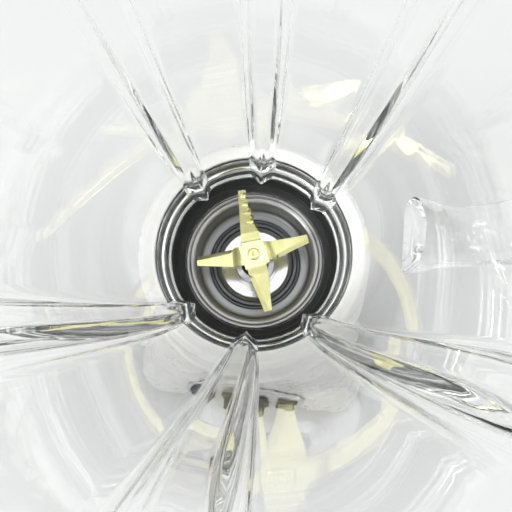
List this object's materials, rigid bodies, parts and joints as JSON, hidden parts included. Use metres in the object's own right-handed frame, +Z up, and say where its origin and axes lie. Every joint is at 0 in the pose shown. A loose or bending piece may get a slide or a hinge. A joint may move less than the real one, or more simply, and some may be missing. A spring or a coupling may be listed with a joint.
{
  "type": "countertop blender",
  "caption": "Countertop blender: white tapered motor base with knob and buttons, ribbed clear glass jar with handle and spout, gold four-arm cutter in a steel bowl, clear lid.",
  "frame": {"origin": "on the counter under the jar's axis, which is the middle of the footprint", "axes": "+Z up along the jar and motor axis, -Y the front with the controls, +X the side with the handle"},
  "size_m": [0.2002, 0.2168, 0.4386],
  "materials": {
    "housing": "smooth pearl-white moulded plastic, satin gloss",
    "dark_plastic": "fine-grained black moulded plastic",
    "rubber": "soft black rubber",
    "steel": "spun and brushed stainless steel",
    "machined_steel": "turned bright steel",
    "blade_gold": "pale gold hard coating on ground steel",
    "glass": "clear pressed glass",
    "clear_plastic": "clear moulded plastic",
    "laminations": "stacked electrical steel, varnished",
    "copper": "enamelled copper wire and bronze",
    "aluminium": "die-cast aluminium",
    "board_green": "solder-masked circuit board",
    "carbon": "pressed carbon"
  },
  "bodies": {
    "base": {"base_shell": "housing", "jar_seat": "housing", "base_plate": "dark_plastic", "speed_switch": "dark_plastic", "brush_holder_left": "dark_plastic", "brush_holder_right": "dark_plastic", "foot_1": "rubber", "foot_2": "rubber", "foot_3": "rubber", "foot_4": "rubber", "motor_mount_1": "rubber", "motor_mount_2": "rubber", "motor_mount_3": "rubber", "motor_mount_4": "rubber", "seat_pad": "rubber", "cord_inlet": "rubber", "control_panel": "steel", "base_screw_1": "machined_steel", "base_screw_2": "machined_steel", "base_screw_3": "machined_steel", "base_screw_4": "machined_steel", "motor_bolt_1": "machined_steel", "motor_bolt_2": "machined_steel", "lower_bearing": "machined_steel", "upper_bearing": "machined_steel", "stator_core": "laminations", "field_coil_left": "copper", "field_coil_right": "copper", "lower_bracket": "aluminium", "upper_bracket": "aluminium", "control_board": "board_green", "carbon_brush_left": "carbon", "carbon_brush_right": "carbon"},
    "rotor": {"motor_shaft": "machined_steel", "rotor_core": "laminations", "commutator": "copper", "cooling_fan": "dark_plastic", "drive_coupling": "machined_steel"},
    "knob": {"speed_knob": "dark_plastic", "switch_shaft": "machined_steel"},
    "pulse": {"pulse_button": "dark_plastic"},
    "ice": {"ice_button": "dark_plastic"},
    "low": {"low_button": "dark_plastic"},
    "high": {"high_button": "dark_plastic"},
    "jar": {"glass_jar": "glass", "jar_seal": "rubber", "jar_collar": "housing", "cutter_bowl": "steel", "bearing_housing": "machined_steel", "lower_bush": "copper", "upper_bush": "copper", "shaft_seal": "rubber", "retaining_nut": "machined_steel"},
    "cutter": {"blade_shaft": "machined_steel", "lower_blade": "blade_gold", "upper_blade": "blade_gold", "driven_coupling": "machined_steel"},
    "lid_cover": {"lid": "clear_plastic", "lid_seal": "rubber"},
    "cap": {"measuring_cap": "clear_plastic"}
  },
  "joints": [
    {"name": "motor_spin", "type": "hinge", "parent": "base", "child": "rotor", "pos_m": [0, 0, 0.08], "axis": [0, 0, 1], "continuous": true},
    {"name": "jar_lift", "type": "slide", "parent": "base", "child": "jar", "axis": [0, 0, 1], "range_m": [0, 0.09]},
    {"name": "blade_spin", "type": "hinge", "parent": "jar", "child": "cutter", "pos_m": [0, 0, 0.19], "axis": [0, 0, 1], "continuous": true},
    {"name": "lid_lift", "type": "slide", "parent": "jar", "child": "lid_cover", "axis": [0, 0, 1], "range_m": [0, 0.05]},
    {"name": "cap_lift", "type": "slide", "parent": "lid_cover", "child": "cap", "axis": [0, 0, 1], "range_m": [0, 0.04]},
    {"name": "speed_knob_turn", "type": "hinge", "parent": "base", "child": "knob", "pos_m": [0, -0.09376, 0.054], "axis": [0, -0.9562, 0.2927], "range_deg": [-240, 30]},
    {"name": "pulse_press", "type": "slide", "parent": "base", "child": "pulse", "axis": [0, 0.9562, -0.2927], "range_m": [0, 0.002], "stiffness_N_per_m": 500},
    {"name": "ice_press", "type": "slide", "parent": "base", "child": "ice", "axis": [0, 0.9562, -0.2927], "range_m": [0, 0.002], "stiffness_N_per_m": 500},
    {"name": "low_press", "type": "slide", "parent": "base", "child": "low", "axis": [0, 0.9562, -0.2927], "range_m": [0, 0.002], "stiffness_N_per_m": 500},
    {"name": "high_press", "type": "slide", "parent": "base", "child": "high", "axis": [0, 0.9562, -0.2927], "range_m": [0, 0.002], "stiffness_N_per_m": 500}
  ],
  "couplings": [
    {"joint": "blade_spin", "follows": "motor_spin", "ratio": 1}
  ]
}
